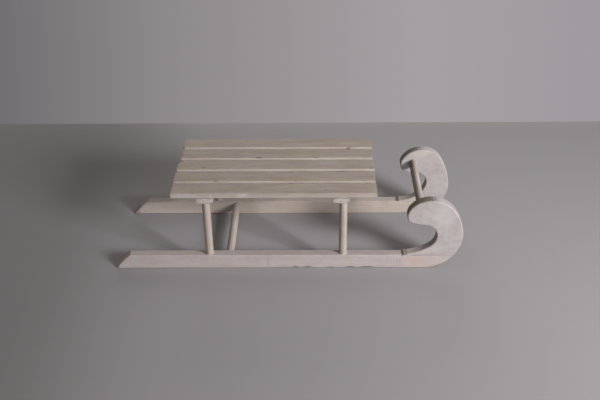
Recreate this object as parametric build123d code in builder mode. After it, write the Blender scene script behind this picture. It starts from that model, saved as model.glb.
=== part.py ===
from build123d import *
import os

# Small wooden sled: two runners with scrolled front curls, four dowel posts,
# two battens and a deck of five slats, glued up from planed boards and dowels.
# Millimetres. +X is the front, where the runners curl up, +Z is up, and the
# origin lies on the floor below the middle of the sled.

# Overall sizes
sled_length = 533.0
sled_width = 171.0
deck_height = 136.0

# Runners: a straight beam with a curl block glued on top of its front end
beam_height = 24.0
beam_thickness = 15.0
rear_slope_run = 24.0
rear_corner_radius = 5.0
rear_corner_turn = 38.0
heel_height = 1.5
runner_edge_ease = 1.2

# Deck
slat_count = 5
slat_gap = 6.25
slat_thickness = 9.0
slat_length = 306.0
slat_edge_round = 1.5
deck_rear = 95.0

# Battens under the deck
batten_width = 24.0
batten_thickness = 9.0
batten_ahead_of_deck_rear = 50.2
batten_spacing = 203.3
batten_edge_round = 0.8

# Dowels and the blind sockets that hold their ends
post_diameter = 12.0
rear_post_offset = 1.0
front_post_offset = 3.0
post_beam_socket = 12.0
post_batten_socket = 5.0
spreader_diameter = 12.0
spreader_ahead_of_post = 30.2
spreader_below_top = 8.0
spreader_socket = 8.0
handle_diameter = 12.0
handle_behind_nose = 63.5
handle_above_beam = 74.5
handle_socket = 8.0
dowel_chamfer = 0.8
glue_gap = 0.1

# Places that follow from the sizes above
nose_x = sled_length / 2
rear_x = -sled_length / 2
side_y = sled_width / 2
inner_y = side_y - beam_thickness
runner_y = side_y - beam_thickness / 2
slat_bottom = deck_height - slat_thickness
batten_bottom = slat_bottom - batten_thickness
slat_width = (sled_width - (slat_count - 1) * slat_gap) / slat_count
slat_pitch = slat_width + slat_gap
deck_rear_x = rear_x + deck_rear
deck_middle_x = deck_rear_x + slat_length / 2
batten_rear_x = deck_rear_x + batten_ahead_of_deck_rear
batten_front_x = batten_rear_x + batten_spacing
spreader_x = batten_rear_x + rear_post_offset + spreader_ahead_of_post
spreader_height = beam_height - spreader_below_top
handle_x = nose_x - handle_behind_nose
handle_height = beam_height + handle_above_beam

# Curl outline, as ends of arcs that each leave tangent to the one before.
# The first arc leaves the sole, tangent to the floor.
# Columns: distance behind the nose, height above the beam's top.
sole_end = 58.0
curl_arcs = [
    (0.0, 36.0),
    (14.0, 78.0),
    (51.0, 97.5),
    (81.0, 83.0),
    (85.5, 68.0),
    (77.5, 58.0),
    (59.0, 55.0),
    (39.5, 33.5),
    (50.0, 15.0),
    (88.0, heel_height),
]

# Columns: name, side of the sled (+1 left, -1 right)
sides = [
    ("left", 1),
    ("right", -1),
]

# The curls are sawn by hand, and the left one is a little narrower.
# Columns: how far its nose is set back, its share of the full outline along X
curl_cuts = {
    "left": (2.3, 0.944),
    "right": (0.0, 1.0),
}

# Columns: name, middle of the batten along X, middle of its posts along X
battens = [
    ("rear", batten_rear_x, batten_rear_x + rear_post_offset),
    ("front", batten_front_x, batten_front_x + front_post_offset),
]

# The slats are cut by hand, so their ends are a little uneven.
# Columns: number from the right side, rear end set in, front end set in
slat_ends = [
    (1, 0.0, 0.0),
    (2, 0.0, 0.5),
    (3, 0.5, 0.0),
    (4, 3.0, 1.0),
    (5, 1.5, 0.0),
]

os.makedirs("parts", exist_ok=True)


# Runners, each one outline that is cut at the glue line into beam and curl
for side, sign in sides:
    inner_face = Plane.XZ.offset(-sign * inner_y)
    mid_plane = Plane.XZ.offset(-sign * runner_y)
    set_back, share = curl_cuts[side]
    sole_front_x = nose_x - set_back - share * sole_end
    curl_points = [
        (nose_x - set_back - share * behind, beam_height + height) for behind, height in curl_arcs
    ]

    with BuildPart() as runner:
        with BuildSketch(mid_plane):
            with BuildLine():
                last = Line((rear_x, 0), (sole_front_x, 0))
                for point in curl_points:
                    last = TangentArc(last @ 1, point, tangent=last % 1)
                heel = Line(last @ 1, (curl_points[-1][0], beam_height))
                top = Line(heel @ 1, (rear_x + rear_slope_run, beam_height))
                corner = JernArc(top @ 1, top % 1, rear_corner_radius, rear_corner_turn)
                TangentArc(corner @ 1, (rear_x, 0), tangent=corner % 1)
            make_face()
        extrude(amount=beam_thickness / 2, both=True)
        chamfer(runner.faces().filter_by(Axis.Y).edges(), length=runner_edge_ease)
        # Sockets for the handle and the spreader, in the inner face
        for x, z, diameter, depth in [
            (handle_x, handle_height, handle_diameter, handle_socket),
            (spreader_x, spreader_height, spreader_diameter, spreader_socket),
        ]:
            with BuildSketch(inner_face):
                with Locations((x, z)):
                    Circle(diameter / 2 + glue_gap)
            extrude(amount=-sign * depth, mode=Mode.SUBTRACT)
        # Sockets for the posts, in the top of the beam
        for batten, batten_x, post_x in battens:
            with BuildSketch(Plane.XY.offset(beam_height)):
                with Locations((post_x, sign * runner_y)):
                    Circle(post_diameter / 2 + glue_gap)
            extrude(amount=-post_beam_socket, mode=Mode.SUBTRACT)

    with BuildPart() as beam:
        add(runner.part)
        split(bisect_by=Plane.XY.offset(beam_height), keep=Keep.BOTTOM)
    beam.part.label = f"runner_beam_{side}"
    export_step(beam.part, f"parts/runner_beam_{side}.step")

    with BuildPart() as curl:
        add(runner.part)
        split(bisect_by=Plane.XY.offset(beam_height), keep=Keep.TOP)
    curl.part.label = f"curl_{side}"
    export_step(curl.part, f"parts/curl_{side}.step")


# Posts, from the bottom of the beam's socket to the end of the batten's socket
post_length = batten_bottom + post_batten_socket - beam_height + post_beam_socket
for batten, batten_x, post_x in battens:
    for side, sign in sides:
        with BuildPart() as post:
            with BuildSketch(Plane.XY.offset(beam_height - post_beam_socket)):
                with Locations((post_x, sign * runner_y)):
                    Circle(post_diameter / 2)
            extrude(amount=post_length)
            chamfer(post.edges().filter_by(GeomType.CIRCLE), length=dowel_chamfer)
        post.part.label = f"post_{batten}_{side}"
        export_step(post.part, f"parts/post_{batten}_{side}.step")


# Battens, with a blind socket over each post
for batten, batten_x, post_x in battens:
    with BuildPart() as bar:
        with BuildSketch(Plane.XY.offset(batten_bottom)):
            with Locations((batten_x, 0)):
                Rectangle(batten_width, sled_width)
        extrude(amount=batten_thickness)
        fillet(bar.faces().sort_by(Axis.Z)[0].edges(), radius=batten_edge_round)
        with BuildSketch(Plane.XY.offset(batten_bottom)):
            for side, sign in sides:
                with Locations((post_x, sign * runner_y)):
                    Circle(post_diameter / 2 + glue_gap)
        extrude(amount=post_batten_socket, mode=Mode.SUBTRACT)
    bar.part.label = f"batten_{batten}"
    export_step(bar.part, f"parts/batten_{batten}.step")


# Deck slats, side by side across the sled
for number, rear_inset, front_inset in slat_ends:
    slat_y = (number - (slat_count + 1) / 2) * slat_pitch
    length = slat_length - rear_inset - front_inset
    middle_x = deck_middle_x + (rear_inset - front_inset) / 2
    with BuildPart() as slat:
        with BuildSketch(Plane.XY.offset(slat_bottom)):
            with Locations((middle_x, slat_y)):
                Rectangle(length, slat_width)
        extrude(amount=slat_thickness)
        fillet(slat.edges().filter_by(Axis.X), radius=slat_edge_round)
    slat.part.label = f"slat_{number}"
    export_step(slat.part, f"parts/slat_{number}.step")


# Dowels across the sled: the spreader between the beams and the handle between the curls
# Columns: name, diameter, socket depth, place along X, height
for name, diameter, socket, x, z in [
    ("spreader_dowel", spreader_diameter, spreader_socket, spreader_x, spreader_height),
    ("handle_dowel", handle_diameter, handle_socket, handle_x, handle_height),
]:
    with BuildPart() as dowel:
        with BuildSketch(Plane.XZ):
            with Locations((x, z)):
                Circle(diameter / 2)
        extrude(amount=inner_y + socket, both=True)
        chamfer(dowel.edges().filter_by(GeomType.CIRCLE), length=dowel_chamfer)
    dowel.part.label = name
    export_step(dowel.part, f"parts/{name}.step")
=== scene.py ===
import math

import bmesh
import bpy
from mathutils import Matrix, Vector, noise


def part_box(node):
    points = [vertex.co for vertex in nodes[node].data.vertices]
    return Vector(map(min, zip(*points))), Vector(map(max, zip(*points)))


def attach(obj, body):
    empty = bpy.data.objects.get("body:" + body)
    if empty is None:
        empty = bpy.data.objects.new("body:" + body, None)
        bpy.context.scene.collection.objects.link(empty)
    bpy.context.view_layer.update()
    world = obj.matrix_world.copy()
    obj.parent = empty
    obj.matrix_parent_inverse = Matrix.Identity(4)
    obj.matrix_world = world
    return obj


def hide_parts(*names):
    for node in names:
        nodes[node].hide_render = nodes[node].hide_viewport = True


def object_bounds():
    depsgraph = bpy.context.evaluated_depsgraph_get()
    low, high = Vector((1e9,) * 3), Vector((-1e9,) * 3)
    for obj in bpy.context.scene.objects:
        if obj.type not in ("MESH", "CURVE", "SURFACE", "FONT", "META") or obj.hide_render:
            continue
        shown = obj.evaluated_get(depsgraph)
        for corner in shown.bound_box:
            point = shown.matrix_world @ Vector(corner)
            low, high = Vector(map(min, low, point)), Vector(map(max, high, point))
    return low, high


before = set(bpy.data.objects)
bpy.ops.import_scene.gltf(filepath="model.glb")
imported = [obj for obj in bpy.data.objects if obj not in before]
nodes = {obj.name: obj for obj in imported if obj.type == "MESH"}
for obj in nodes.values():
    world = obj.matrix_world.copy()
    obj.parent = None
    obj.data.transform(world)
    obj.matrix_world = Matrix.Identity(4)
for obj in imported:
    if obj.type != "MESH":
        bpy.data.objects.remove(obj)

# Small wooden sled of limed softwood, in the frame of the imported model: +X front,
# +Y left, +Z up. Lengths are in metres unless a name or a comment says mm.

cad_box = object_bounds()
MM = 0.001


# Places on the sled in mm: its sides, the middles of the right and left beams and the
# far beam's inner face along Y, and then heights
BEAM_THICKNESS_MM = 15.0
BOARD_THICKNESS_MM = 9.0
NEAR = round(cad_box[0].y / MM, 3)
FAR = round(cad_box[1].y / MM, 3)
RIGHT = NEAR + BEAM_THICKNESS_MM / 2
LEFT = FAR - BEAM_THICKNESS_MM / 2
FAR_INNER = FAR - BEAM_THICKNESS_MM
BEAM_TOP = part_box("runner_beam_right")[1].z / MM
DECK_TOP = round(cad_box[1].z / MM, 3)
BATTEN_BOTTOM = DECK_TOP - 2 * BOARD_THICKNESS_MM

# Wood colours, linear RGB. streak is how strongly rings and fibres show, cloud and
# mottle how strongly blotches do, olive and rosy how far patches lean to those tones,
# wash how thick the white wash is, saw how much the saw marks show, top_dust_and_shade
# how much dust and painted shade dull the faces that look up, and run how far blotches
# stretch along the grain.
WOODS = {
    "deck_wood": {
        "pale": (0.398, 0.345, 0.288), "dark": (0.288, 0.238, 0.188), "run": 1.0,
        "streak": 0.90, "cloud": 0.42, "mottle": 0.22, "olive": 0.90, "rosy": 0.85,
        "wash": 0.32, "saw": 0.10, "top_dust_and_shade": 0.0,
    },
    "runner_wood": {
        "pale": (0.440, 0.390, 0.372), "dark": (0.362, 0.308, 0.288), "run": 1.0,
        "streak": 0.50, "cloud": 0.40, "mottle": 0.30, "olive": 0.15, "rosy": 0.60,
        "wash": 0.40, "saw": 0.45, "top_dust_and_shade": 0.22,
    },
    # A paler, warmer copy of the runner wood for the far beam: its own tone in part, and in part
    # painted warm bounce light on its face under the deck
    "far_runner_wood_with_painted_bounce": {
        "pale": (0.470, 0.410, 0.368), "dark": (0.366, 0.308, 0.266), "run": 1.0,
        "streak": 0.60, "cloud": 0.40, "mottle": 0.30, "olive": 0.40, "rosy": 0.35,
        "wash": 0.28, "saw": 0.30, "top_dust_and_shade": 0.22,
    },
    "curl_wood": {
        "pale": (0.428, 0.392, 0.386), "dark": (0.350, 0.310, 0.302), "run": 0.26,
        "streak": 0.12, "cloud": 0.28, "mottle": 0.45, "olive": 0.15, "rosy": 0.35,
        "wash": 0.62, "saw": 0.15, "top_dust_and_shade": 0.0,
    },
    "batten_wood": {
        "pale": (0.450, 0.395, 0.365), "dark": (0.350, 0.292, 0.258), "run": 1.0,
        "streak": 0.80, "cloud": 0.40, "mottle": 0.25, "olive": 0.30, "rosy": 0.40,
        "wash": 0.36, "saw": 0.40, "top_dust_and_shade": 0.0,
    },
    "dowel_wood": {
        "pale": (0.500, 0.440, 0.388), "dark": (0.392, 0.328, 0.280), "run": 0.6,
        "streak": 0.70, "cloud": 0.40, "mottle": 0.35, "olive": 0.25, "rosy": 0.30,
        "wash": 0.25, "saw": 0.00, "top_dust_and_shade": 0.0,
    },
}
WASH_COLOUR = (0.468, 0.448, 0.452)
OLIVE_TONE = (0.970, 0.960, 0.760)
ROSY_TONE = (0.960, 0.905, 1.010)
MARK_COLOURS = {
    # The first two colours serve real stains and soiling, and also painted shade where the marks below
    # say so. The rim colour serves dark stain and painted shade on the curls' rims, and the pale
    # colour also a painted highlight on the handle.
    "stain_and_shade": (0.105, 0.078, 0.056),
    "dirt_and_shade": (0.150, 0.122, 0.105),
    "filler": (0.450, 0.425, 0.400),
    "pale": (0.520, 0.495, 0.490),
    "cream": (0.510, 0.462, 0.412),
    "rim": (0.150, 0.118, 0.088),
    "cool": (0.400, 0.388, 0.382),
    "tan": (0.500, 0.385, 0.310),
    "olive": (0.310, 0.268, 0.170),
    "rosy": (0.365, 0.300, 0.290),
}

# Layers of noise in the wood. Columns: length along the grain and width across it
# in mm, detail, roughness, distortion
LAYERS = {
    "bend": (190.0, 60.0, 2.0, 0.5, 0.0),
    "waver": (60.0, 9.0, 2.0, 0.5, 0.0),
    "fibre": (30.0, 0.9, 4.0, 0.6, 0.0),
    "pore": (7.0, 0.35, 2.0, 0.5, 0.0),
    "band": (85.0, 2.6, 2.0, 0.5, 0.0),
    "cloud": (70.0, 16.0, 3.0, 0.55, 0.0),
    "mottle": (14.0, 9.0, 4.0, 0.6, 0.6),
    "saw": (1.6, 50.0, 2.0, 0.5, 0.0),
    "saw_patch": (36.0, 20.0, 1.0, 0.5, 0.0),
    "olive": (44.0, 8.0, 3.0, 0.5, 0.0),
    "rosy": (38.0, 10.0, 3.0, 0.5, 0.5),
    "wash": (48.0, 11.0, 4.0, 0.6, 0.4),
    "scratch": (12.0, 0.2, 1.0, 0.5, 0.0),
}
# Layers that a wood's run stretches
LONG_LAYERS = ("cloud", "olive", "rosy", "wash")
# Columns: the noise levels between which a layer comes in, or fades out
FADES = {
    "fibre": (0.30, 0.70),
    "pore": (0.60, 0.72),
    "band": (0.36, 0.66),
    "cloud": (0.30, 0.75),
    "mottle": (0.35, 0.68),
    "saw": (0.45, 0.70),
    "saw_patch": (0.50, 0.66),
    "olive": (0.48, 0.66),
    "rosy": (0.46, 0.56),
    "wash": (0.38, 0.64),
}
# How far each seed moves a piece through the noise, in mm, and the noise's middle level
SEED_STEPS = (137.0, 71.0, 53.0)
NOISE_MIDDLE = (0.5, 0.5, 0.5)

# Growth rings: how far they bend across the board in mm, how little they narrow along
# it, how dark the palest year is, and the darkness from spring wood to late wood
RING_BEND_MM = 16.0
RING_TAPER = 0.035
PALEST_YEAR = 0.4
YEAR_PROFILE = [(0.0, 0.1), (0.5, 0.3), (0.82, 1.0), (0.93, 0.9), (1.0, 0.1)]

# How much of a wood's streak each layer makes, and how much of its darkness saw marks make
FIBRE_SHARE = 0.32
RING_SHARE = 0.38
BAND_SHARE = 0.38
SAW_SHARE = 0.8

# How much wash, and dust with painted shade, their thinnest places have, and how much less wash late
# wood takes
THINNEST_WASH = 0.15
THINNEST_TOP_DUST_AND_SHADE = 0.5
LATE_WOOD_SHEDS = 0.4

# Pores and cut ends, as shares of the wood's pale and dark colours
PORE_SHADE = 0.60
PORE_SHARE = 0.25
END_PALE_SHADE = 0.80
END_DARK_SHADE = 0.62
END_RING_SHARE = 0.8
END_SHARE = 0.75

# How square to an axis a face is, where end grain, dust with painted shade, and rim marks fade
END_FADE = (0.55, 0.95)
TOP_DUST_AND_SHADE_FADE = (0.60, 0.90)
RIM_FADE = (0.50, 0.80)

# Ragged outline of the marks: closeness, detail and roughness of its noise, how far it
# reaches as a share of the mark, and the share of the mark's radius where it fades
RAGGED_NOISE = (0.45, 4.0, 0.65)
RAGGED_REACH = 1.5
MARK_CORE = 0.50

# Relief, as heights of each layer and of filler, and how the bump renders them
RELIEF = {"fibre": 0.5, "ring": 0.30, "pore": -0.5, "scratch": 0.25, "saw": -0.8, "filler": 0.5}
RELIEF_STRENGTH = 0.35
RELIEF_DEPTH = 0.15 * MM
WOOD_ROUGHNESS = 0.60
WASH_ROUGHENS = 0.2
FIBRE_ROUGHENS = 0.16
WOOD_SPECULAR = 0.30

# Wear along the boards' edges: the grid it is made on, the clearance of the dowels, its
# most, the lengths of its slow rub and of its chips, and the noise level where a chip starts
WEAR_STEP_MM = 2.5
WEAR_STEP_ACROSS_MM = 3.0
WEAR_MARGIN_MM = 0.7
SOCKET_CLEARANCE_MM = 7.0
MOST_WEAR_MM = 1.6
RUB_LENGTH_MM = 19.0
CHIP_LENGTH_MM = 4.2
CHIP_FROM = 0.22
CHIP_SPAN = 0.5
WEAR_SHARES = {"all": 0.25, "rub": 0.75, "chip": 1.4}
WEAR_SEED_STEPS = (17.3, 5.9, 11.1)
SAME_PLACE_MM = 0.001
FLAT_WITHIN = math.radians(0.5)
SMOOTH_WITHIN = math.radians(35.0)

# The beams' eased edge, and how sharp the edges of their soles are. The sole is
# straight up to its front end and then runs up an arc, along which this fades out.
BEAM_EASE_MM = 1.2
SOLE_EASE_MM = 0.35
SOLE_ARC_MM = 58.0
SOLE_FADE_MM = 34.0
SOLE_EDGE_WITHIN_MM = 0.3
SIDE_WITHIN_MM = 0.01

# The left beam's rear end, cut back by hand to a longer slope: the cut runs in by
# this much at the top, and fades out over a stretch of the beam, in mm
REAR_CUT_MM = {"runner_beam_left": 5.0}
REAR_CUT_REACH_MM = 60.0

# Glue round the posts' feet: the bead's size and points, its middle size as a share, its
# lumps as pairs of share and closeness, and the closeness, detail and roughness of its blotches
POST_RADIUS_MM = 6.0
GLUE_BEAD_MM = 1.15
GLUE_TURNS = 40
GLUE_RISE = 7
GLUE_STEEPNESS = 1.15
GLUE_MIDDLE = 0.62
GLUE_LUMPS = [(0.38, 2.1), (0.14, 6.0)]
GLUE_SEED_STEPS = (3.1, 7.7, 0.0)
GLUE_PALE = (0.520, 0.480, 0.420)
GLUE_DARK = (0.360, 0.315, 0.255)
GLUE_BLOTCH_STEP_MM = 19.0
GLUE_BLOTCH = (0.5, 4.0, 0.6)
GLUE_BLOTCH_FADE = (0.35, 0.65)
GLUE_ROUGHNESS = (0.45, 0.65)
GLUE_SPECULAR = 0.4
GLUE_RELIEF = 0.4
GLUE_RELIEF_DEPTH = 0.2 * MM

# The photograph's viewing angle, and how near and how far the camera sees
CAMERA_PLACE = (0.0421, -1.1749, 0.8056)
CAMERA_PITCH = math.radians(32.010)
CAMERA_YAW = math.radians(1.139)
CAMERA_ROLL = math.radians(0.778)
CAMERA_LENS_MM = 52.2
SENSOR_MM = 36.0
CLIP = (0.05, 30.0)

# Lights. An irradiance of pi shows a colour as it is written.
KEY_PLACE = (1.75, -1.39, 0.97)
KEY_AIM = (0.25, -0.05, 0.0)
KEY_SIZE = 0.62
KEY_SPREAD = math.radians(75.0)
KEY_LEVEL = 1.65
KEY_COLOUR = (1.0, 0.985, 0.99)
SLED_AIM = (0.0, 0.0, 0.05)
FILL_SIZE = 1.6
FILL_COLOUR = (1.0, 0.97, 0.95)
FRONT_PLACE = (0.30, -2.40, 0.90)
FRONT_LEVEL = 0.12
BACK_PLACE = (0.0, 2.40, 0.80)
BACK_LEVEL = 0.38
SKY_LEVEL = 0.195
SKY_COLOUR = (1.0, 0.94, 0.87)

# Backdrop: how far to the sides its colours run, and the colours from left to right, darker toward -X
# as painted shade where the light falls off
WALL_SPAN = 0.40
WALL_COLOURS = [
    (0.0, (0.132, 0.127, 0.134)),
    (0.30, (0.272, 0.257, 0.264)),
    (0.65, (0.375, 0.352, 0.366)),
    (1.0, (0.335, 0.313, 0.345)),
]

# Floor: it ends behind the sled, is paler along that edge, and has painted shade to the rear, where
# the key light falls off.
# Its tooth is the closeness and detail of a noise.
FLOOR_COLOUR = (0.340, 0.330, 0.343)
FLOOR_EDGE_COLOUR = (0.360, 0.347, 0.353)
FLOOR_LEFT_SHADE = 0.68
FLOOR_LEFT_FADE = (-0.16, -0.40)
FLOOR_BACK_EDGE = 0.41
FLOOR_EDGE_FADE = 0.035
FLOOR_REACH = 4.0
FLOOR_TOOTH = (260.0, 3.0)
FLOOR_TOOTH_SHARE = 0.06
FLOOR_TOOTH_SHADE = 0.7
FLOOR_ROUGHNESS = 0.85
FLOOR_SPECULAR = 0.10


def shaded(colour, share):
    """A colour made darker or paler."""
    return tuple(c * share for c in colour)


class Nodes:
    """The node tree of a material or a world, built with short calls."""

    def __init__(self, owner):
        owner.use_nodes = True
        self.owner = owner
        self.tree = owner.node_tree
        self.tree.nodes.clear()

    def add(self, kind, **settings):
        node = self.tree.nodes.new(kind)
        for key, value in settings.items():
            setattr(node, key, value)
        return node

    def link(self, value, socket):
        if isinstance(value, bpy.types.NodeSocket):
            self.tree.links.new(value, socket)
        else:
            socket.default_value = value

    def math(self, operation, a, b=0.0, c=0.0, clamp=False):
        node = self.add("ShaderNodeMath", operation=operation, use_clamp=clamp)
        for value, socket in zip((a, b, c), node.inputs):
            self.link(value, socket)
        return node.outputs[0]

    def vector(self, operation, a, b=(0.0, 0.0, 0.0), scale=None):
        node = self.add("ShaderNodeVectorMath", operation=operation)
        self.link(a, node.inputs[0])
        self.link(b, node.inputs[1])
        if scale is not None:
            self.link(scale, node.inputs["Scale"])
        return node.outputs["Value"] if operation in ("LENGTH", "DOT_PRODUCT") else node.outputs[0]

    def split(self, vector):
        """The X, Y and Z of a vector."""
        node = self.add("ShaderNodeSeparateXYZ")
        self.link(vector, node.inputs[0])
        return node.outputs

    def noise(self, place, detail=2.0, roughness=0.5, distortion=0.0, colour=False):
        node = self.add("ShaderNodeTexNoise", noise_dimensions="3D")
        self.link(place, node.inputs["Vector"])
        node.inputs["Scale"].default_value = 1.0
        node.inputs["Detail"].default_value = detail
        node.inputs["Roughness"].default_value = roughness
        node.inputs["Distortion"].default_value = distortion
        return node.outputs["Color"] if colour else node.outputs[0]

    def ramp(self, factor, stops, interpolation="LINEAR"):
        """A ramp of greys or colours; stops are (place, value) pairs."""
        node = self.add("ShaderNodeValToRGB")
        node.color_ramp.interpolation = interpolation
        points = node.color_ramp.elements
        while len(points) < len(stops):
            points.new(0.5)
        for point, (place, value) in zip(points, stops):
            point.position = place
            point.color = (*value, 1.0) if isinstance(value, tuple) else (value, value, value, 1.0)
        self.link(factor, node.inputs[0])
        return node.outputs[0]

    def fade(self, factor, span, low=0.0, high=1.0, interpolation="LINEAR"):
        """A ramp from low to high between the two places of span."""
        start, end = span
        return self.ramp(factor, [(start, low), (end, high)], interpolation)

    def mix(self, factor, a, b, blend="MIX"):
        node = self.add("ShaderNodeMix", data_type="RGBA", blend_type=blend)
        self.link(factor, node.inputs[0])
        for value, socket in ((a, node.inputs[6]), (b, node.inputs[7])):
            self.link((*value, 1.0) if isinstance(value, tuple) else value, socket)
        return node.outputs[2]

    def bump(self, height, strength, depth):
        node = self.add("ShaderNodeBump")
        node.inputs["Strength"].default_value = strength
        node.inputs["Distance"].default_value = depth
        self.link(height, node.inputs["Height"])
        return node.outputs[0]

    def surface(self, colour, roughness, specular, normal=None):
        """Ends a material in a plain shader, and returns the material."""
        shader = self.add("ShaderNodeBsdfPrincipled")
        self.link(colour, shader.inputs["Base Color"])
        self.link(roughness, shader.inputs["Roughness"])
        shader.inputs["Specular IOR Level"].default_value = specular
        if normal is not None:
            self.link(normal, shader.inputs["Normal"])
        output = self.add("ShaderNodeOutputMaterial")
        self.link(shader.outputs[0], output.inputs["Surface"])
        return self.owner


class Wood(Nodes):
    """The node tree of one piece of wood.

    place is a point of the sled in mm. local is the same point from the piece's
    middle, with the grain's axis first. grain is local moved to the piece's own
    place in the noise. facing is the side that a face looks to.
    """

    def __init__(self, name, wood, along, seed):
        super().__init__(bpy.data.materials.new(name))
        self.look = WOODS[wood]
        self.along = along
        self.facing = self.add("ShaderNodeNewGeometry").outputs["True Normal"]
        coords = self.add("ShaderNodeTexCoord").outputs["Object"]
        self.place = self.vector("SCALE", coords, scale=1.0 / MM)
        order = {"X": (0, 1, 2), "Y": (1, 0, 2), "Z": (2, 0, 1)}[along]
        parts = self.split(self.place)
        turned = self.add("ShaderNodeCombineXYZ")
        for source, target in zip(order, turned.inputs):
            self.link(parts[source], target)
        low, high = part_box(name)
        middle = (low + high) / 2 / MM
        self.local = self.vector("SUBTRACT", turned.outputs[0], tuple(middle[i] for i in order))
        self.grain = self.vector("ADD", self.local, tuple(seed * step for step in SEED_STEPS))

    def streaks(self, layer, colour=False):
        """The plain noise of a layer, stretched along the grain."""
        length, width, detail, roughness, distortion = LAYERS[layer]
        if layer in LONG_LAYERS:
            length *= self.look["run"]
        scaled = self.vector("MULTIPLY", self.grain, (1 / length, 1 / width, 1 / width))
        return self.noise(scaled, detail, roughness, distortion, colour)

    def patches(self, layer, low=0.0, high=1.0):
        """Where a layer shows, as levels from low to high."""
        return self.fade(self.streaks(layer), FADES[layer], low, high)

    def toward(self, axis):
        """How far a face looks along an axis, from -1 to 1."""
        direction = {"X": (1.0, 0.0, 0.0), "Y": (0.0, 1.0, 0.0), "Z": (0.0, 0.0, 1.0)}[axis]
        return self.vector("DOT_PRODUCT", self.facing, direction)


def growth_rings(t, pith, ring_mm):
    """How late in its year the wood grew, from 0 in spring wood to 1 in the dark line."""
    bend = t.vector("SUBTRACT", t.streaks("bend", colour=True), NOISE_MIDDLE)
    bent = t.vector("ADD", t.local, t.vector("MULTIPLY", bend, (0.0, RING_BEND_MM, RING_BEND_MM)))
    from_pith = t.vector("SUBTRACT", bent, (0.0, *pith))
    radius = t.vector("LENGTH", t.vector("MULTIPLY", from_pith, (RING_TAPER, 1.0, 1.0)))
    years = t.math("ADD", t.math("DIVIDE", radius, ring_mm), t.streaks("waver"))
    ring = t.ramp(t.math("FRACT", years), YEAR_PROFILE)
    year = t.add("ShaderNodeTexWhiteNoise", noise_dimensions="1D")
    t.link(t.math("FLOOR", years), year.inputs["W"])
    depth = t.math("MULTIPLY_ADD", year.outputs[0], 1.0 - PALEST_YEAR, PALEST_YEAR)
    return t.math("MULTIPLY", ring, depth)


def saw_marks(t):
    """Fine lines across the grain, in patches."""
    lines = t.math("MULTIPLY", t.patches("saw"), t.patches("saw_patch"))
    return t.math("MULTIPLY", lines, t.look["saw"])


def bare_wood(t, pale, dark, ring, fibre, mottle, saw):
    """The wood's own colour, from pale to dark, with olive and rosy patches."""
    fine = t.math("MULTIPLY", t.fade(fibre, FADES["fibre"]), FIBRE_SHARE)
    fine = t.math("MULTIPLY_ADD", ring, RING_SHARE, fine)
    fine = t.math("MULTIPLY_ADD", t.patches("band"), BAND_SHARE, fine)
    broad = t.math("MULTIPLY", t.patches("cloud"), t.look["cloud"])
    broad = t.math("MULTIPLY_ADD", mottle, t.look["mottle"], broad)
    darkness = t.math("MULTIPLY_ADD", fine, t.look["streak"], broad)
    darkness = t.math("MULTIPLY_ADD", saw, SAW_SHARE, darkness, clamp=True)
    colour = t.mix(darkness, pale, dark)
    colour = t.mix(t.patches("olive", 0.0, t.look["olive"]), colour, OLIVE_TONE, "MULTIPLY")
    return t.mix(t.patches("rosy", t.look["rosy"], 0.0), colour, ROSY_TONE, "MULTIPLY")


def wash_cover(t, ring):
    """How well the white wash covers, thinner over the late wood."""
    washed = t.patches("wash", THINNEST_WASH)
    washed = t.math("MULTIPLY", washed, t.math("MULTIPLY_ADD", ring, -LATE_WOOD_SHEDS, 1.0))
    return t.math("MULTIPLY", washed, t.look["wash"])


def with_end_grain(t, colour, pale, dark, ring):
    """The cut ends of the fibres are darker."""
    end = t.fade(t.math("ABSOLUTE", t.toward(t.along)), END_FADE)
    ringed = t.math("MULTIPLY", ring, END_RING_SHARE)
    end_colour = t.mix(ringed, shaded(pale, END_PALE_SHADE), shaded(dark, END_DARK_SHADE))
    return t.mix(t.math("MULTIPLY", end, END_SHARE), colour, end_colour)


def with_top_dust_and_shade(t, colour, mottle):
    """Dust and painted shade dull the faces that look up, unevenly."""
    top_dust_and_shade = t.fade(t.toward("Z"), TOP_DUST_AND_SHADE_FADE, 0.0, t.look["top_dust_and_shade"])
    uneven = t.math("MULTIPLY_ADD", mottle, 1.0 - THINNEST_TOP_DUST_AND_SHADE, THINNEST_TOP_DUST_AND_SHADE)
    return t.mix(t.math("MULTIPLY", top_dust_and_shade, uneven), colour, MARK_COLOURS["dirt_and_shade"])


def with_marks(t, colour, marks):
    """Marks with ragged outlines, and where filler stands on the wood. Rim marks spare broad sides."""
    rim = t.fade(t.math("ABSOLUTE", t.toward("Y")), RIM_FADE, 1.0, 0.0)
    closeness, detail, roughness = RAGGED_NOISE
    ragged = t.noise(t.vector("SCALE", t.place, scale=closeness), detail, roughness, colour=True)
    ragged = t.vector("SUBTRACT", ragged, NOISE_MIDDLE)
    filled = 0.0
    for kind, centre, radii, strength in marks:
        across = tuple(1.0 / r if r else 0.0 for r in radii)
        ragged_by = tuple(RAGGED_REACH if r else 0.0 for r in radii)
        away = t.vector("MULTIPLY", t.vector("SUBTRACT", t.place, centre), across)
        away = t.vector("ADD", away, t.vector("MULTIPLY", ragged, ragged_by))
        level = t.fade(t.vector("LENGTH", away), (MARK_CORE, 1.0), strength, 0.0, "EASE")
        if kind == "rim":
            level = t.math("MULTIPLY", level, rim)
        colour = t.mix(level, colour, MARK_COLOURS[kind])
        if kind == "filler":
            filled = t.math("MAXIMUM", filled, level)
    return colour, filled


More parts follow.
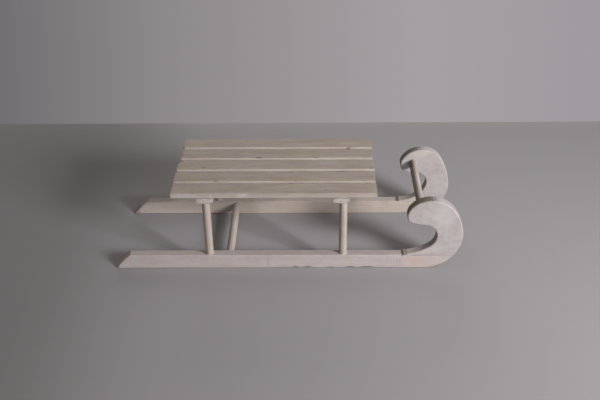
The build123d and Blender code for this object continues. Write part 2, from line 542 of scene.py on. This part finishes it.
def limed_wood(name, wood, along, seed, pith, ring_mm, shade, marks):
    """Solid softwood with its rings along one axis, under a thin white wash.

    along is the grain's axis. pith is how far the log's middle lies from the
    piece, in mm across the grain. marks are (kind, centre in mm, radii in mm,
    strength), and a radius of 0 lets the mark run on along that axis.
    """
    t = Wood(name, wood, along, seed)
    pale = shaded(t.look["pale"], shade)
    dark = shaded(t.look["dark"], shade)
    ring = growth_rings(t, pith, ring_mm)
    fibre = t.streaks("fibre")
    pore = t.patches("pore")
    mottle = t.patches("mottle")
    saw = saw_marks(t)

    washed = wash_cover(t, ring)
    colour = bare_wood(t, pale, dark, ring, fibre, mottle, saw)
    colour = t.mix(washed, colour, WASH_COLOUR)
    colour = t.mix(t.math("MULTIPLY", pore, PORE_SHARE), colour, shaded(dark, PORE_SHADE))
    colour = with_end_grain(t, colour, pale, dark, ring)
    # Dust and painted shade on the faces that look up
    colour = with_top_dust_and_shade(t, colour, mottle)
    colour, filled = with_marks(t, colour, marks)

    # Raised late wood, open pores, and faint scratches from sanding
    height = t.math("MULTIPLY", fibre, RELIEF["fibre"])
    scratch = t.streaks("scratch")
    layers = {"ring": ring, "pore": pore, "scratch": scratch, "saw": saw, "filler": filled}
    for layer, level in layers.items():
        height = t.math("MULTIPLY_ADD", level, RELIEF[layer], height)
    rough = t.math("MULTIPLY_ADD", washed, WASH_ROUGHENS, WOOD_ROUGHNESS)
    rough = t.math("MULTIPLY_ADD", fibre, FIBRE_ROUGHENS, rough)
    normal = t.bump(height, RELIEF_STRENGTH, RELIEF_DEPTH)
    return t.surface(colour, rough, WOOD_SPECULAR, normal)


def near_face_marks(y, cream_runs):
    """Painted shade with some soiling low on a slat's near face, in the gap to the nearer slat, and a
    paler upper face: painted light where it meets the lamp, and paler wash in some runs.

    cream_runs are (middle, reach, strength) along the slat, in mm.
    """
    return [
        # Painted shade, with some soiling, in the gap to the nearer slat
        ("dirt_and_shade", (0.0, y, 130.2), (0.0, 2.2, 1.9), 0.55),
        # Painted light on the upper face, which meets the lamp
        ("cream", (0.0, y, 133.8), (0.0, 1.4, 3.0), 0.42),
        *[("cream", (x, y, 134.2), (reach, 1.6, 2.4), strength) for x, reach, strength in cream_runs],
    ]


def glue_line(strength):
    """Dirt along the joint between a beam and its curl."""
    return ("dirt_and_shade", (222.0, 0.0, BEAM_TOP), (50.0, 0.0, 0.6), strength)


def saw_lines(places):
    """Deeper saw marks across the near beam's face; places are (x in mm, strength)."""
    return [("dirt_and_shade", (x, NEAR, 14.0), (0.9, 3.0, 8.0), strength) for x, strength in places]


def sole_shade(places):
    """Painted shade in the chips of the near beam's sole; places are (x, z, reach, height, strength).
    """
    return [
        ("stain_and_shade", (x, NEAR, z), (reach, 3.0, height), strength)
        for x, z, reach, height, strength in places
    ]


# Marks of use and making, and painted light and shade where noted: kind, centre in mm, radii in mm,
# strength
marks = {
    "slat_1": [
        # Painted light: slat_1's near face, which meets the lamp, made paler along its length
        ("pale", (0.0, -86.0, 130.0), (0.0, 2.0, 4.6), 0.26),
        ("stain_and_shade", (-57.4, -84.8, DECK_TOP), (4.5, 1.8, 1.6), 0.65),
        ("stain_and_shade", (58.9, -76.0, DECK_TOP), (1.3, 4.5, 1.5), 0.35),
        ("filler", (85.0, -86.0, 127.6), (10.0, 3.0, 3.0), 0.75),
        ("pale", (-112.0, -86.0, 130.0), (3.2, 3.0, 7.0), 0.45),
        ("pale", (-65.0, -86.0, 132.0), (9.0, 3.0, 4.0), 0.50),
        ("pale", (-148.0, -86.0, 131.0), (30.0, 3.0, 6.0), 0.36),
        ("tan", (-96.0, -86.0, 132.0), (14.0, 3.0, 5.0), 0.30),
    ],
    "slat_2": [
        *near_face_marks(-50.3, [(-40.0, 60.0, 0.50), (-128.0, 20.0, 0.50), (96.0, 32.0, 0.35)]),
        ("stain_and_shade", (81.0, -22.0, DECK_TOP), (21.0, 1.8, 2.0), 0.60),
        ("stain_and_shade", (-108.0, -48.8, DECK_TOP), (5.0, 2.0, 2.0), 0.50),
        ("olive", (-150.0, -36.0, DECK_TOP), (22.0, 13.0, 3.0), 0.40),
        ("olive", (20.0, -46.0, DECK_TOP), (36.0, 6.0, 3.0), 0.35),
        ("rosy", (-84.0, -30.0, DECK_TOP), (30.0, 7.0, 3.0), 0.35),
    ],
    "slat_3": [
        *near_face_marks(-14.6, [
            (-20.0, 34.0, 0.65), (60.0, 60.0, 0.45), (-120.0, 50.0, 0.40), (126.0, 10.0, 0.60),
        ]),
        ("stain_and_shade", (-169.0, 13.0, 135.0), (8.0, 4.5, 4.0), 0.80),
        ("stain_and_shade", (-150.0, 14.4, DECK_TOP), (26.0, 1.6, 2.0), 0.50),
        ("stain_and_shade", (-130.0, -8.5, DECK_TOP), (4.0, 3.0, 2.0), 0.40),
        ("cool", (62.0, 4.0, DECK_TOP), (24.0, 8.0, 3.0), 0.40),
        ("rosy", (-60.0, 6.0, DECK_TOP), (40.0, 6.0, 3.0), 0.30),
        ("olive", (-114.0, 9.0, DECK_TOP), (24.0, 5.0, 3.0), 0.35),
    ],
    "slat_4": [
        *near_face_marks(21.1, [(60.0, 70.0, 0.55), (-70.0, 50.0, 0.40)]),
        ("stain_and_shade", (-45.5, 23.0, DECK_TOP), (8.0, 1.8, 2.0), 0.65),
        ("stain_and_shade", (43.6, 23.4, DECK_TOP), (7.0, 1.5, 2.0), 0.50),
        ("olive", (12.0, 39.0, DECK_TOP), (19.0, 6.0, 3.0), 0.65),
        ("olive", (-8.0, 30.0, DECK_TOP), (26.0, 4.0, 3.0), 0.40),
        ("rosy", (-26.0, 29.0, DECK_TOP), (24.0, 8.0, 3.0), 0.55),
        ("rosy", (92.0, 40.0, DECK_TOP), (40.0, 6.0, 3.0), 0.30),
        ("tan", (-142.7, 21.1, 132.0), (12.0, 2.5, 6.0), 0.55),
        ("tan", (-134.0, 24.0, DECK_TOP), (14.0, 3.0, 3.0), 0.40),
        ("stain_and_shade", (131.0, 47.0, 134.0), (1.8, 7.0, 5.0), 0.45),
    ],
    "slat_5": [
        *near_face_marks(56.3, [(-40.0, 60.0, 0.60), (50.0, 40.0, 0.50), (-130.0, 40.0, 0.45)]),
        ("stain_and_shade", (96.0, 56.3, 133.0), (4.5, 2.4, 4.5), 0.65),
        ("pale", (115.0, 56.0, 133.0), (15.0, 2.0, 4.0), 0.45),
        ("tan", (-150.0, 70.0, DECK_TOP), (20.0, 9.0, 3.0), 0.25),
        ("rosy", (-100.0, 74.0, DECK_TOP), (26.0, 7.0, 3.0), 0.35),
    ],
    "batten_rear": [
        ("pale", (-121.0, -86.0, 122.5), (13.0, 4.0, 7.0), 0.52),
        ("cream", (-111.0, -86.0, 123.0), (3.2, 3.0, 8.0), 0.50),
    ],
    "batten_front": [
        ("filler", (82.0, -86.0, 122.5), (15.0, 4.5, 7.0), 0.85),
        ("stain_and_shade", (80.0, -86.0, 122.0), (2.0, 2.0, 1.6), 0.30),
    ],
    "runner_beam_right": [
        ("tan", (216.0, NEAR, 12.0), (46.0, 20.0, 17.0), 0.14),
        ("tan", (195.0, NEAR, 13.0), (20.0, 4.0, 12.0), 0.55),
        ("rosy", (200.0, NEAR, 13.0), (14.0, 4.0, 9.0), 0.35),
        ("cool", (-238.0, NEAR, 13.0), (13.0, 4.0, 11.0), 0.65),
        ("dirt_and_shade", (-30.0, NEAR, 13.0), (1.4, 3.0, 10.0), 0.25),
        ("dirt_and_shade", (113.0, NEAR, 18.8), (6.0, 3.0, 2.5), 0.18),
        *saw_lines([
            (153.0, 0.18), (156.5, 0.26), (160.5, 0.16), (164.0, 0.24), (168.5, 0.34), (173.0, 0.26),
        ]),
        ("tan", (85.5, RIGHT, BEAM_TOP), (9.0, 9.0, 1.5), 0.35),
        glue_line(0.55),
        ("stain_and_shade", (196.0, NEAR, BEAM_TOP), (8.0, 3.0, 1.1), 0.50),
        ("stain_and_shade", (176.8, RIGHT, BEAM_TOP), (2.8, 0.0, 2.4), 0.62),
        # Painted shade along the sole, where the beam meets the floor, and in the chips of its edge
        ("dirt_and_shade", (0.0, 0.0, 0.0), (0.0, 0.0, 1.3), 0.88),
        ("stain_and_shade", (75.0, 0.0, 0.0), (150.0, 0.0, 1.3), 0.70),
        *sole_shade([
            (12.0, 1.2, 6.0, 3.0, 0.75),
            (31.0, 1.4, 8.0, 3.4, 0.80),
            (96.0, 1.0, 9.0, 3.0, 0.70),
            (122.0, 1.2, 13.0, 3.4, 0.75),
            (-10.0, 0.4, 14.0, 2.4, 0.45),
            (66.0, 0.6, 10.0, 2.4, 0.55),
        ]),
    ],
    "runner_beam_left": [
        glue_line(0.50),
        # Painted shade along the sole, where the beam meets the floor
        ("dirt_and_shade", (0.0, 0.0, 0.0), (0.0, 0.0, 1.3), 0.90),
        ("cool", (150.0, LEFT, BEAM_TOP), (30.0, 8.0, 2.0), 0.45),
        ("tan", (-60.0, FAR_INNER, 3.0), (150.0, 3.0, 5.0), 0.35),
        # Painted shade at the beam's rear end, on the side away from the lamp
        ("dirt_and_shade", (-262.0, LEFT, 10.0), (9.0, 0.0, 18.0), 0.45),
        # Painted shadow of the deck on the beam's top towards its rear
        ("dirt_and_shade", (-226.0, LEFT, BEAM_TOP), (38.0, 0.0, 1.8), 0.42),
        ("pale", (-190.0, FAR_INNER, 5.0), (70.0, 3.0, 5.0), 0.35),
    ],
    "curl_right": [
        ("stain_and_shade", (181.8, RIGHT, 26.5), (2.6, 0.0, 3.4), 0.60),
        ("olive", (179.2, RIGHT, 25.5), (2.0, 0.0, 2.0), 0.60),
        # Painted shade with some dark stain on the rims that face up and back, away from the lamp, and
        # in the throat
        ("rim", (196.0, RIGHT, 112.0), (33.0, 0.0, 27.0), 0.94),
        ("rim", (209.0, RIGHT, 122.0), (15.0, 0.0, 10.0), 0.72),
        ("rim", (213.0, RIGHT, 44.0), (23.0, 0.0, 16.0), 0.40),
        ("olive", (190.0, RIGHT, 27.5), (14.0, 6.5, 3.0), 0.25),
        ("rosy", (193.0, NEAR, 98.0), (22.0, 4.0, 17.0), 0.22),
        ("rosy", (250.0, NEAR, 70.0), (12.0, 4.0, 12.0), 0.18),
        ("pale", (234.0, NEAR, 97.0), (24.0, 4.0, 22.0), 0.30),
        ("cream", (212.0, NEAR, 34.0), (30.0, 4.0, 8.0), 0.25),
        glue_line(0.60),
        ("stain_and_shade", (196.0, NEAR, BEAM_TOP), (8.0, 3.0, 1.0), 0.40),
        ("dirt_and_shade", (230.0, NEAR, 58.2), (14.0, 4.0, 0.9), 0.48),
        ("tan", (200.0, NEAR, 29.0), (12.0, 4.0, 4.0), 0.35),
    ],
    "curl_left": [
        ("rim", (194.0, LEFT, 28.0), (18.0, 0.0, 12.0), 0.30),
        ("olive", (194.0, 79.0, 28.0), (30.0, 8.0, 12.0), 0.55),
        ("stain_and_shade", (181.9, LEFT, 25.5), (3.0, 0.0, 4.4), 0.90),
        ("cream", (200.0, FAR_INNER, 31.0), (20.0, 1.5, 9.0), 0.55),
        # Painted shade with some dark stain on the top rim, away from the lamp, and in the throat
        ("rim", (194.0, LEFT, 113.0), (28.0, 0.0, 27.0), 0.90),
        ("rim", (214.0, LEFT, 52.0), (26.0, 0.0, 24.0), 0.58),
        ("cream", (212.0, FAR_INNER, 118.0), (28.0, 4.0, 10.0), 0.55),
        ("rosy", (236.0, FAR_INNER, 88.0), (20.0, 4.0, 18.0), 0.22),
        glue_line(0.50),
    ],
    "post_front_right": [
        ("stain_and_shade", (85.0, RIGHT, 28.0), (9.0, 9.0, 8.0), 0.14),
    ],
    "handle_dowel": [
        # Painted shade on the handle's left side, painted shadows of the curls near its ends, and a
        # painted highlight on its lit upper right
        ("stain_and_shade", (196.5, 0.0, 100.0), (8.6, 0.0, 14.0), 0.66),
        ("stain_and_shade", (203.0, -68.0, 100.0), (16.0, 20.0, 16.0), 0.26),
        ("stain_and_shade", (200.0, 66.0, 100.0), (9.0, 22.0, 14.0), 0.20),
        ("pale", (206.5, 8.0, 104.0), (5.0, 26.0, 6.0), 0.40),
    ],
}

# Dents where a long edge has split away: centre, radius, and depth halfway to the rim, in mm
dents = {
    "slat_1": [((-57.4, NEAR, DECK_TOP), 5.0, 0.9), ((131.0, NEAR, DECK_TOP), 4.0, 0.5)],
    "slat_2": [((81.0, -21.1, DECK_TOP), 14.0, 0.6), ((-108.2, -50.3, DECK_TOP), 5.0, 0.6)],
    "slat_3": [((-170.5, 14.6, DECK_TOP), 8.0, 1.8), ((-130.0, -14.6, DECK_TOP), 4.0, 0.5)],
    "slat_4": [((-45.5, 21.1, DECK_TOP), 9.0, 0.8), ((43.6, 21.1, DECK_TOP), 7.0, 0.7)],
    "slat_5": [((96.0, 56.3, 134.5), 5.0, 1.3), ((-171.0, 56.3, DECK_TOP), 5.0, 0.8)],
    "runner_beam_right": [
        ((12.0, NEAR, 0.0), 8.0, 1.2),
        ((31.0, NEAR, 0.0), 10.0, 1.6),
        ((66.0, NEAR, 0.0), 7.0, 0.9),
        ((96.0, NEAR, 0.0), 10.0, 1.2),
        ((122.0, NEAR, 0.0), 13.0, 1.6),
    ],
    "runner_beam_left": [((-110.0, FAR, 0.0), 10.0, 1.1), ((60.0, FAR, 0.0), 12.0, 1.2)],
    "batten_front": [((73.0, NEAR, BATTEN_BOTTOM), 4.0, 0.6), ((93.0, NEAR, BATTEN_BOTTOM), 5.0, 0.7)],
    "batten_rear": [((-110.0, NEAR, BATTEN_BOTTOM), 4.0, 0.6)],
}

# Columns: node, wood, grain axis, seed, pith across the grain in mm, ring width in mm, shade
finishes = [
    ("slat_1", "deck_wood", "X", 1, (9.0, -42.0), 2.2, 1.00),
    ("slat_2", "deck_wood", "X", 2, (-14.0, 38.0), 2.6, 1.02),
    ("slat_3", "deck_wood", "X", 3, (30.0, -30.0), 1.9, 1.02),
    ("slat_4", "deck_wood", "X", 4, (4.0, -55.0), 2.8, 0.99),
    ("slat_5", "deck_wood", "X", 5, (-22.0, 46.0), 2.3, 1.03),
    ("runner_beam_right", "runner_wood", "X", 6, (-30.0, 20.0), 2.7, 1.06),
    ("runner_beam_left", "far_runner_wood_with_painted_bounce", "X", 7, (26.0, 34.0), 2.2, 1.13),
    ("curl_right", "curl_wood", "X", 8, (-52.0, -30.0), 3.1, 0.93),
    ("curl_left", "curl_wood", "X", 9, (46.0, 60.0), 2.9, 0.99),
    ("batten_rear", "batten_wood", "Y", 10, (20.0, -26.0), 2.0, 1.03),
    ("batten_front", "batten_wood", "Y", 11, (-18.0, -30.0), 2.3, 1.00),
    ("post_rear_right", "dowel_wood", "Z", 12, (14.0, 18.0), 1.8, 0.93),
    ("post_rear_left", "dowel_wood", "Z", 13, (-20.0, 12.0), 1.6, 0.98),
    ("post_front_right", "dowel_wood", "Z", 14, (9.0, -24.0), 2.0, 0.90),
    ("post_front_left", "dowel_wood", "Z", 15, (-16.0, -14.0), 1.7, 0.99),
    ("spreader_dowel", "dowel_wood", "Y", 16, (18.0, 10.0), 1.8, 0.97),
    ("handle_dowel", "dowel_wood", "Y", 17, (-12.0, 22.0), 1.7, 1.00),
]

# Boards with worn edges. Columns: reach of the wear in mm, depth of the wear in mm,
# dowel places along the board in mm, highest X and Z that wear in mm, or None for all
boards = {
    "slat_1": (2.6, 0.30, (), None),
    "slat_2": (2.6, 0.30, (), None),
    "slat_3": (2.6, 0.32, (), None),
    "slat_4": (2.6, 0.34, (), None),
    "slat_5": (2.6, 0.30, (), None),
    "batten_rear": (1.8, 0.26, (RIGHT, LEFT), None),
    "batten_front": (1.8, 0.28, (RIGHT, LEFT), None),
    "runner_beam_right": (2.6, 0.30, (), (185.0, 6.0)),
    "runner_beam_left": (2.6, 0.30, (), (185.0, 6.0)),
}


def to_metres(bm):
    """Scale a mesh that was made in mm, and turn its faces outward."""
    bmesh.ops.scale(bm, vec=Vector((1, 1, 1)) * MM, verts=bm.verts)
    bmesh.ops.recalc_face_normals(bm, faces=bm.faces)


def new_piece(name, bm):
    """A new object in the scene, made of a mesh."""
    mesh = bpy.data.meshes.new(name)
    bm.to_mesh(mesh)
    bm.free()
    piece = bpy.data.objects.new(name, mesh)
    bpy.context.scene.collection.objects.link(piece)
    return piece


def board_in_mm(name):
    """A copy of a node's mesh, in mm, with each flat face as one polygon."""
    bm = bmesh.new()
    bm.from_mesh(nodes[name].data)
    bmesh.ops.scale(bm, vec=Vector((1, 1, 1)) / MM, verts=bm.verts)
    bmesh.ops.remove_doubles(bm, verts=bm.verts, dist=SAME_PLACE_MM)
    bmesh.ops.dissolve_limit(bm, angle_limit=FLAT_WITHIN, verts=bm.verts, edges=bm.edges)
    return bm


def cut_across(bm, axis, at):
    """Cut every face where it crosses a plane across one axis."""
    on_plane = Vector()
    on_plane[axis] = at
    across = Vector()
    across[axis] = 1.0
    bmesh.ops.bisect_plane(
        bm, geom=bm.verts[:] + bm.edges[:] + bm.faces[:], dist=SAME_PLACE_MM,
        plane_co=on_plane, plane_no=across,
    )


def cut_for_wear(bm, low, high, axis, reach_mm, within):
    """Give a board's edges the points that they need to wear."""
    for i in range(3):
        span = high[i] - low[i]
        step = WEAR_STEP_MM if i == axis else WEAR_STEP_ACROSS_MM
        count = max(1, round(span / step))
        inset = reach_mm + WEAR_MARGIN_MM
        places = [low[i] + reach_mm, high[i] - reach_mm, low[i] + inset, high[i] - inset]
        if span > 4 * reach_mm and (i == axis or within is None):
            places += [low[i] + span * k / count for k in range(1, count)]
        limit = high[i] if within is None else (within[0], high[1], within[1])[i]
        for at in places:
            if at <= limit:
                cut_across(bm, i, at)


def sharpen_sole(bm, low, high):
    """Narrow the eased edges along a beam's sole, in mm, inside the beam's box."""
    arc_start = high.x - SOLE_ARC_MM
    inner_arc = SOLE_ARC_MM - BEAM_EASE_MM
    for vert in bm.verts:
        along_arc = min(max(0.0, vert.co.x - arc_start), SOLE_FADE_MM)
        edge_z = low.z + SOLE_ARC_MM - math.sqrt(inner_arc ** 2 - along_arc ** 2)
        on_side = min(vert.co.y - low.y, high.y - vert.co.y) < SIDE_WITHIN_MM
        if on_side and abs(vert.co.z - edge_z) < SOLE_EDGE_WITHIN_MM:
            vert.co.z -= (BEAM_EASE_MM - SOLE_EASE_MM) * (1.0 - along_arc / SOLE_FADE_MM)


def cut_rear(bm, low, high, run_mm):
    """Lean a beam's rear end further forward, by run_mm at its top."""
    for vert in bm.verts:
        fade = max(0.0, 1.0 - (vert.co.x - low.x) / REAR_CUT_REACH_MM)
        rise = (vert.co.z - low.z) / (high.z - low.z)
        vert.co.x += run_mm * rise * fade


def wear_at(co, name, axis, shift, wear_mm, clear_of):
    """How deep an edge is worn at a point, in mm: a slow rub, chips, and the board's dents."""
    rub = 0.5 + 0.5 * noise.noise(co / RUB_LENGTH_MM + shift)
    chip = max(0.0, noise.noise(co / CHIP_LENGTH_MM + shift) - CHIP_FROM) / CHIP_SPAN
    amount = wear_mm * (WEAR_SHARES["all"] + WEAR_SHARES["rub"] * rub + WEAR_SHARES["chip"] * chip)
    for place in clear_of:
        away = abs(co[axis] - place) - SOCKET_CLEARANCE_MM
        amount *= min(1.0, max(0.0, away / SOCKET_CLEARANCE_MM))
    for place, radius, deep in dents.get(name, []):
        # A smooth hollow, twice as deep in its middle as halfway to its rim
        share = 1.0 - (co - Vector(place)).length / radius
        if share > 0.0:
            amount += deep * share * (3.0 - 2.0 * share) * share * 2.0
    return amount


def worn_board(name, along, seed, reach_mm, wear_mm, clear_of, within):
    """A copy of a board with worn and chipped edges, inside the board's box.

    Edges wear within reach_mm of them, by about wear_mm. clear_of are places
    along the board, in mm, where a dowel stands and the edges stay sharp. within
    is the highest X and Z, in mm, at which edges wear, or None for all of them.
    """
    axis = "XYZ".index(along)
    low, high = (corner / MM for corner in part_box(name))
    bm = board_in_mm(name)
    if name.startswith("runner_beam"):
        sharpen_sole(bm, low, high)
    cut_for_wear(bm, low, high, axis, reach_mm, within)

    shift = Vector([seed * step for step in WEAR_SEED_STEPS])
    for vert in bm.verts:
        depth = [min(vert.co[i] - low[i], high[i] - vert.co[i]) for i in range(3)]
        near = 1.0 - sorted(depth)[1] / reach_mm
        if near <= 0.0 or (within is not None and (vert.co.x > within[0] or vert.co.z > within[1])):
            continue
        amount = near * wear_at(vert.co, name, axis, shift, wear_mm, clear_of)
        amount = min(amount, MOST_WEAR_MM)
        for i in range(3):
            if depth[i] < reach_mm:
                inward = 1.0 if vert.co[i] < (low[i] + high[i]) / 2 else -1.0
                vert.co[i] += inward * amount * (1.0 - depth[i] / reach_mm)
    if name in REAR_CUT_MM:
        cut_rear(bm, low, high, REAR_CUT_MM[name])

    to_metres(bm)
    for face in bm.faces:
        face.smooth = True
    for edge in bm.edges:
        if len(edge.link_faces) == 2:
            edge.smooth = edge.calc_face_angle(0.0) < SMOOTH_WITHIN
    piece = new_piece(f"{name}_worn", bm)
    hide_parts(name)
    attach(piece, "root")
    return piece


def finish_wood():
    """Give each node its wood, and each worn board its copy."""
    for node, wood, along, seed, pith, ring_mm, shade in finishes:
        material = limed_wood(node, wood, along, seed, pith, ring_mm, shade, marks.get(node, []))
        if node in boards:
            piece = worn_board(node, along, seed, *boards[node])
        else:
            piece = nodes[node]
            piece.data.materials.clear()
        piece.data.materials.append(material)


def dried_glue(name, seed):
    """Wood glue that has dried to a dull cream, clearer where it is thin."""
    t = Nodes(bpy.data.materials.new(f"{name}_glue"))
    place = t.vector("SCALE", t.add("ShaderNodeTexCoord").outputs["Object"], scale=1.0 / MM)
    place = t.vector("ADD", place, (seed * GLUE_BLOTCH_STEP_MM, 0.0, 0.0))
    closeness, detail, roughness = GLUE_BLOTCH
    blotch = t.noise(t.vector("SCALE", place, scale=closeness), detail, roughness)
    blotch = t.fade(blotch, GLUE_BLOTCH_FADE)
    colour = t.mix(blotch, GLUE_PALE, GLUE_DARK)
    smoothest, roughest = GLUE_ROUGHNESS
    rough = t.math("MULTIPLY_ADD", blotch, roughest - smoothest, smoothest)
    return t.surface(colour, rough, GLUE_SPECULAR, t.bump(blotch, GLUE_RELIEF, GLUE_RELIEF_DEPTH))


def glue_bead(name, foot, seed):
    """A lumpy bead of dried glue round the foot of a post, which stands at foot, in mm."""
    shift = Vector([seed * step for step in GLUE_SEED_STEPS])
    bm = bmesh.new()
    rings = []
    for i in range(GLUE_TURNS):
        angle = 2 * math.pi * i / GLUE_TURNS
        out = Vector((math.cos(angle), math.sin(angle), 0.0))
        lumps = [share * noise.noise(out * closeness + shift) for share, closeness in GLUE_LUMPS]
        size = GLUE_BEAD_MM * sum(lumps, GLUE_MIDDLE)
        section = []
        for j in range(GLUE_RISE):
            turn = math.pi / 2 * j / (GLUE_RISE - 1)
            away = POST_RADIUS_MM + size * math.cos(turn)
            up = GLUE_STEEPNESS * size * math.sin(turn)
            section.append(bm.verts.new(foot + Vector((0.0, 0.0, up)) + out * away))
        section.append(bm.verts.new(foot + out * POST_RADIUS_MM))
        rings.append(section)
    for one, other in zip(rings, rings[1:] + rings[:1]):
        for k in range(len(one)):
            corners = (one[k - 1], one[k], other[k], other[k - 1])
            bm.faces.new(corners).smooth = k not in (0, len(one) - 1)
    to_metres(bm)
    bead = new_piece(name, bm)
    bead.data.materials.append(dried_glue(name, seed))
    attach(bead, "root")


def glue_posts():
    """A bead round each post's foot, on top of its beam."""
    for seed, post in enumerate(("rear_right", "front_right", "rear_left", "front_left"), start=1):
        low, high = (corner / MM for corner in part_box(f"post_{post}"))
        foot = (low + high) / 2
        foot.z = BEAM_TOP
        glue_bead(f"glue_{post}", foot, seed)


def floor_board(name):
    """Smooth board with a very fine tooth, paler along its back edge, with painted shade to the rear
    where the key light falls off.
    """
    t = Nodes(bpy.data.materials.new(name))
    coords = t.add("ShaderNodeTexCoord").outputs["Object"]
    parts = t.split(coords)
    edge = t.math("SUBTRACT", parts["Y"], FLOOR_BACK_EDGE - FLOOR_EDGE_FADE)
    edge = t.fade(t.math("DIVIDE", edge, FLOOR_EDGE_FADE), (0.0, 1.0), interpolation="EASE")
    colour = t.mix(edge, FLOOR_COLOUR, FLOOR_EDGE_COLOUR)
    # Painted shade: the floor darkens to the rear, where the key light falls off
    fade_from, fade_to = FLOOR_LEFT_FADE
    dim = t.math("DIVIDE", t.math("SUBTRACT", parts["X"], fade_from), fade_to - fade_from)
    dim = t.fade(dim, (0.0, 1.0), interpolation="EASE")
    colour = t.mix(dim, colour, (FLOOR_LEFT_SHADE,) * 3, "MULTIPLY")
    closeness, detail = FLOOR_TOOTH
    tooth = t.noise(t.vector("SCALE", coords, scale=closeness), detail)
    tooth = t.math("MULTIPLY", tooth, FLOOR_TOOTH_SHARE)
    colour = t.mix(tooth, colour, shaded(FLOOR_COLOUR, FLOOR_TOOTH_SHADE))
    return t.surface(colour, FLOOR_ROUGHNESS, FLOOR_SPECULAR)


def make_floor():
    mesh = bpy.data.meshes.new("floor")
    corners = [
        (-FLOOR_REACH, -FLOOR_REACH, 0.0),
        (FLOOR_REACH, -FLOOR_REACH, 0.0),
        (FLOOR_REACH, FLOOR_BACK_EDGE, 0.0),
        (-FLOOR_REACH, FLOOR_BACK_EDGE, 0.0),
    ]
    mesh.from_pydata(corners, [], [(0, 1, 2, 3)])
    floor = bpy.data.objects.new("floor", mesh)
    bpy.context.scene.collection.objects.link(floor)
    mesh.materials.append(floor_board("floor_board"))


def area_light(name, place, aim, size, level, colour, spread=None):
    """A square soft light. level is the light at its aim, where 1 shows a colour as written."""
    data = bpy.data.lights.new(name, "AREA")
    data.shape = "SQUARE"
    data.size = size
    data.color = colour
    away = Vector(place) - Vector(aim)
    data.energy = level * math.pi ** 2 * away.length_squared
    if spread is not None:
        # A narrower beam keeps its power, so the power goes down to keep the level
        data.spread = spread
        edge = math.tan(spread / 2)
        data.energy *= (edge - spread / 2) / edge
    light = bpy.data.objects.new(name, data)
    light.location = place
    light.rotation_mode = "QUATERNION"
    light.rotation_quaternion = (-away).to_track_quat("-Z", "Y")
    light.visible_camera = False
    bpy.context.scene.collection.objects.link(light)


def make_world():
    """Even soft light from all round, and a backdrop with painted shade, darker toward -X, where the
    camera looks past the floor.
    """
    world = bpy.data.worlds.new("studio")
    t = Nodes(world)
    sky = t.add("ShaderNodeBackground")
    sky.inputs["Color"].default_value = (*SKY_COLOUR, 1.0)
    sky.inputs["Strength"].default_value = SKY_LEVEL

    across = t.add("ShaderNodeMapRange")
    across.inputs["From Min"].default_value = -WALL_SPAN
    across.inputs["From Max"].default_value = WALL_SPAN
    t.link(t.split(t.add("ShaderNodeTexCoord").outputs["Generated"])["X"], across.inputs["Value"])
    # The backdrop's colours are painted shade, darker toward -X where the light falls off
    wall = t.add("ShaderNodeBackground")
    t.link(t.ramp(across.outputs[0], WALL_COLOURS), wall.inputs["Color"])

    # The backdrop shows to the camera, in mirrors and through glass, and lights nothing
    rays = t.add("ShaderNodeLightPath").outputs
    seen = t.math("MAXIMUM", rays["Is Camera Ray"], rays["Is Glossy Ray"])
    seen = t.math("MAXIMUM", seen, rays["Is Transmission Ray"])
    mix = t.add("ShaderNodeMixShader")
    for value, socket in zip((seen, sky.outputs[0], wall.outputs[0]), mix.inputs):
        t.link(value, socket)
    output = t.add("ShaderNodeOutputWorld")
    t.link(mix.outputs[0], output.inputs["Surface"])
    bpy.context.scene.world = world


def make_camera():
    data = bpy.data.cameras.new("camera")
    data.sensor_fit = "HORIZONTAL"
    data.sensor_width = SENSOR_MM
    data.lens = CAMERA_LENS_MM
    data.clip_start, data.clip_end = CLIP
    camera = bpy.data.objects.new("camera", data)
    level_forward = Vector((-math.sin(CAMERA_YAW), math.cos(CAMERA_YAW), 0.0))
    level_right = Vector((math.cos(CAMERA_YAW), math.sin(CAMERA_YAW), 0.0))
    up = Vector((0.0, 0.0, 1.0))
    forward = math.cos(CAMERA_PITCH) * level_forward - math.sin(CAMERA_PITCH) * up
    upright = math.sin(CAMERA_PITCH) * level_forward + math.cos(CAMERA_PITCH) * up
    right = math.cos(CAMERA_ROLL) * level_right - math.sin(CAMERA_ROLL) * upright
    top = math.sin(CAMERA_ROLL) * level_right + math.cos(CAMERA_ROLL) * upright
    turn = Matrix((right, top, -forward)).transposed()
    camera.rotation_mode = "QUATERNION"
    camera.rotation_quaternion = turn.to_quaternion()
    camera.location = CAMERA_PLACE
    bpy.context.scene.collection.objects.link(camera)
    bpy.context.scene.camera = camera


finish_wood()
glue_posts()
make_floor()
area_light("key", KEY_PLACE, KEY_AIM, KEY_SIZE, KEY_LEVEL, KEY_COLOUR, KEY_SPREAD)
area_light("front", FRONT_PLACE, SLED_AIM, FILL_SIZE, FRONT_LEVEL, FILL_COLOUR)
area_light("back", BACK_PLACE, SLED_AIM, FILL_SIZE, BACK_LEVEL, FILL_COLOUR)
make_world()
make_camera()
bpy.context.scene.view_settings.view_transform = "Standard"
